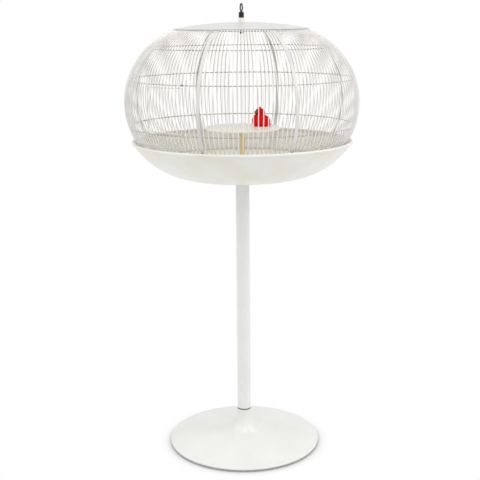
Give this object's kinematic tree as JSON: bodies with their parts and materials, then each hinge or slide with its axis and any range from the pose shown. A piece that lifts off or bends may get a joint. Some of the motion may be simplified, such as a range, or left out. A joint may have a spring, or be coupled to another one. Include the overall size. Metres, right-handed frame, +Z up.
{
  "type": "bird cage on stand",
  "caption": "Round wire bird cage with flat straps and a domed cap, seated in a dished bowl on a tubular post with a weighted trumpet base.",
  "frame": {"origin": "on the floor under the post, in the middle of the round base", "axes": "+Z up along the post; -Y is the front that the picture shows; +X is to the right of the picture"},
  "size_m": [0.6364, 0.6364, 1.2489],
  "materials": {
    "stand_enamel": "gloss enamel",
    "bowl_enamel": "gloss enamel",
    "cage_enamel": "gloss enamel",
    "wire_enamel": "satin enamel",
    "ballast_iron": "rough cast",
    "zinc_steel": "zinc plated",
    "black_rubber": "matt",
    "bronzed_brass": "aged dark bronze",
    "dark_steel": "blackened",
    "perch_wood": "bare sanded wood",
    "red_plastic": "matt red",
    "black_plastic": "matt black paint"
  },
  "bodies": {
    "stand": {"base_shell": "stand_enamel", "foot_ring": "black_rubber", "base_ballast": "ballast_iron", "base_spigot": "zinc_steel", "seam_seal": "black_rubber", "post_tube": "stand_enamel", "post_head": "stand_enamel", "bowl_gasket": "black_rubber", "tie_rod": "zinc_steel", "tie_rod_washer": "zinc_steel", "tie_rod_nut": "zinc_steel", "bowl": "bowl_enamel", "bowl_washer": "zinc_steel", "bowl_nut": "zinc_steel", "perch_post": "perch_wood", "perch_platform": "bowl_enamel"},
    "cage": {"top_ring": "wire_enamel", "upper_ring": "wire_enamel", "middle_ring": "wire_enamel", "lower_ring": "wire_enamel", "bottom_ring": "wire_enamel", "strap_1": "cage_enamel", "strap_2": "cage_enamel", "strap_3": "cage_enamel", "strap_4": "cage_enamel", "strap_5": "cage_enamel", "strap_6": "cage_enamel", "strap_7": "cage_enamel", "strap_8": "cage_enamel", "wire_panel_door": "wire_enamel", "wire_panel_front": "wire_enamel", "wire_panel_front_right": "wire_enamel", "wire_panel_right": "wire_enamel", "wire_panel_back_right": "wire_enamel", "wire_panel_back": "wire_enamel", "wire_panel_back_left": "wire_enamel", "wire_panel_left": "wire_enamel", "cap": "cage_enamel", "cap_collar": "cage_enamel", "eye_bolt": "dark_steel", "cap_washer": "zinc_steel", "cap_nut": "zinc_steel", "door_hinge_rod": "wire_enamel", "latch_plate": "zinc_steel", "latch_pin": "zinc_steel"},
    "door": {"door_frame": "wire_enamel", "door_wires": "wire_enamel"},
    "latch": {"latch_lever": "zinc_steel"},
    "hook": {"hook_ferrule": "bronzed_brass", "hook_plug": "bronzed_brass", "hook_loop": "bronzed_brass"},
    "toy_bird": {"toy_bird_body": "red_plastic", "toy_bird_beak": "red_plastic", "toy_bird_mask": "black_plastic"}
  },
  "joints": [
    {"name": "cage_lift", "type": "slide", "parent": "stand", "child": "cage", "axis": [0, 0, 1], "range_m": [0, 0.25]},
    {"name": "door_hinge", "type": "hinge", "parent": "cage", "child": "door", "pos_m": [-0.23836, -0.19343, 0.98891], "axis": [0, 0, -1], "range_deg": [0, 110]},
    {"name": "latch_turn", "type": "hinge", "parent": "cage", "child": "latch", "pos_m": [-0.14936, -0.26945, 1.05241], "axis": [-0.4606, -0.8309, 0.3123], "range_deg": [0, 90]},
    {"name": "hook_swivel", "type": "hinge", "parent": "cage", "child": "hook", "pos_m": [0, 0, 1.21106], "axis": [0, 0, 1], "continuous": true},
    {"name": "toy_bird_lift", "type": "slide", "parent": "stand", "child": "toy_bird", "axis": [0, 0, 1], "range_m": [0, 0.08]}
  ]
}
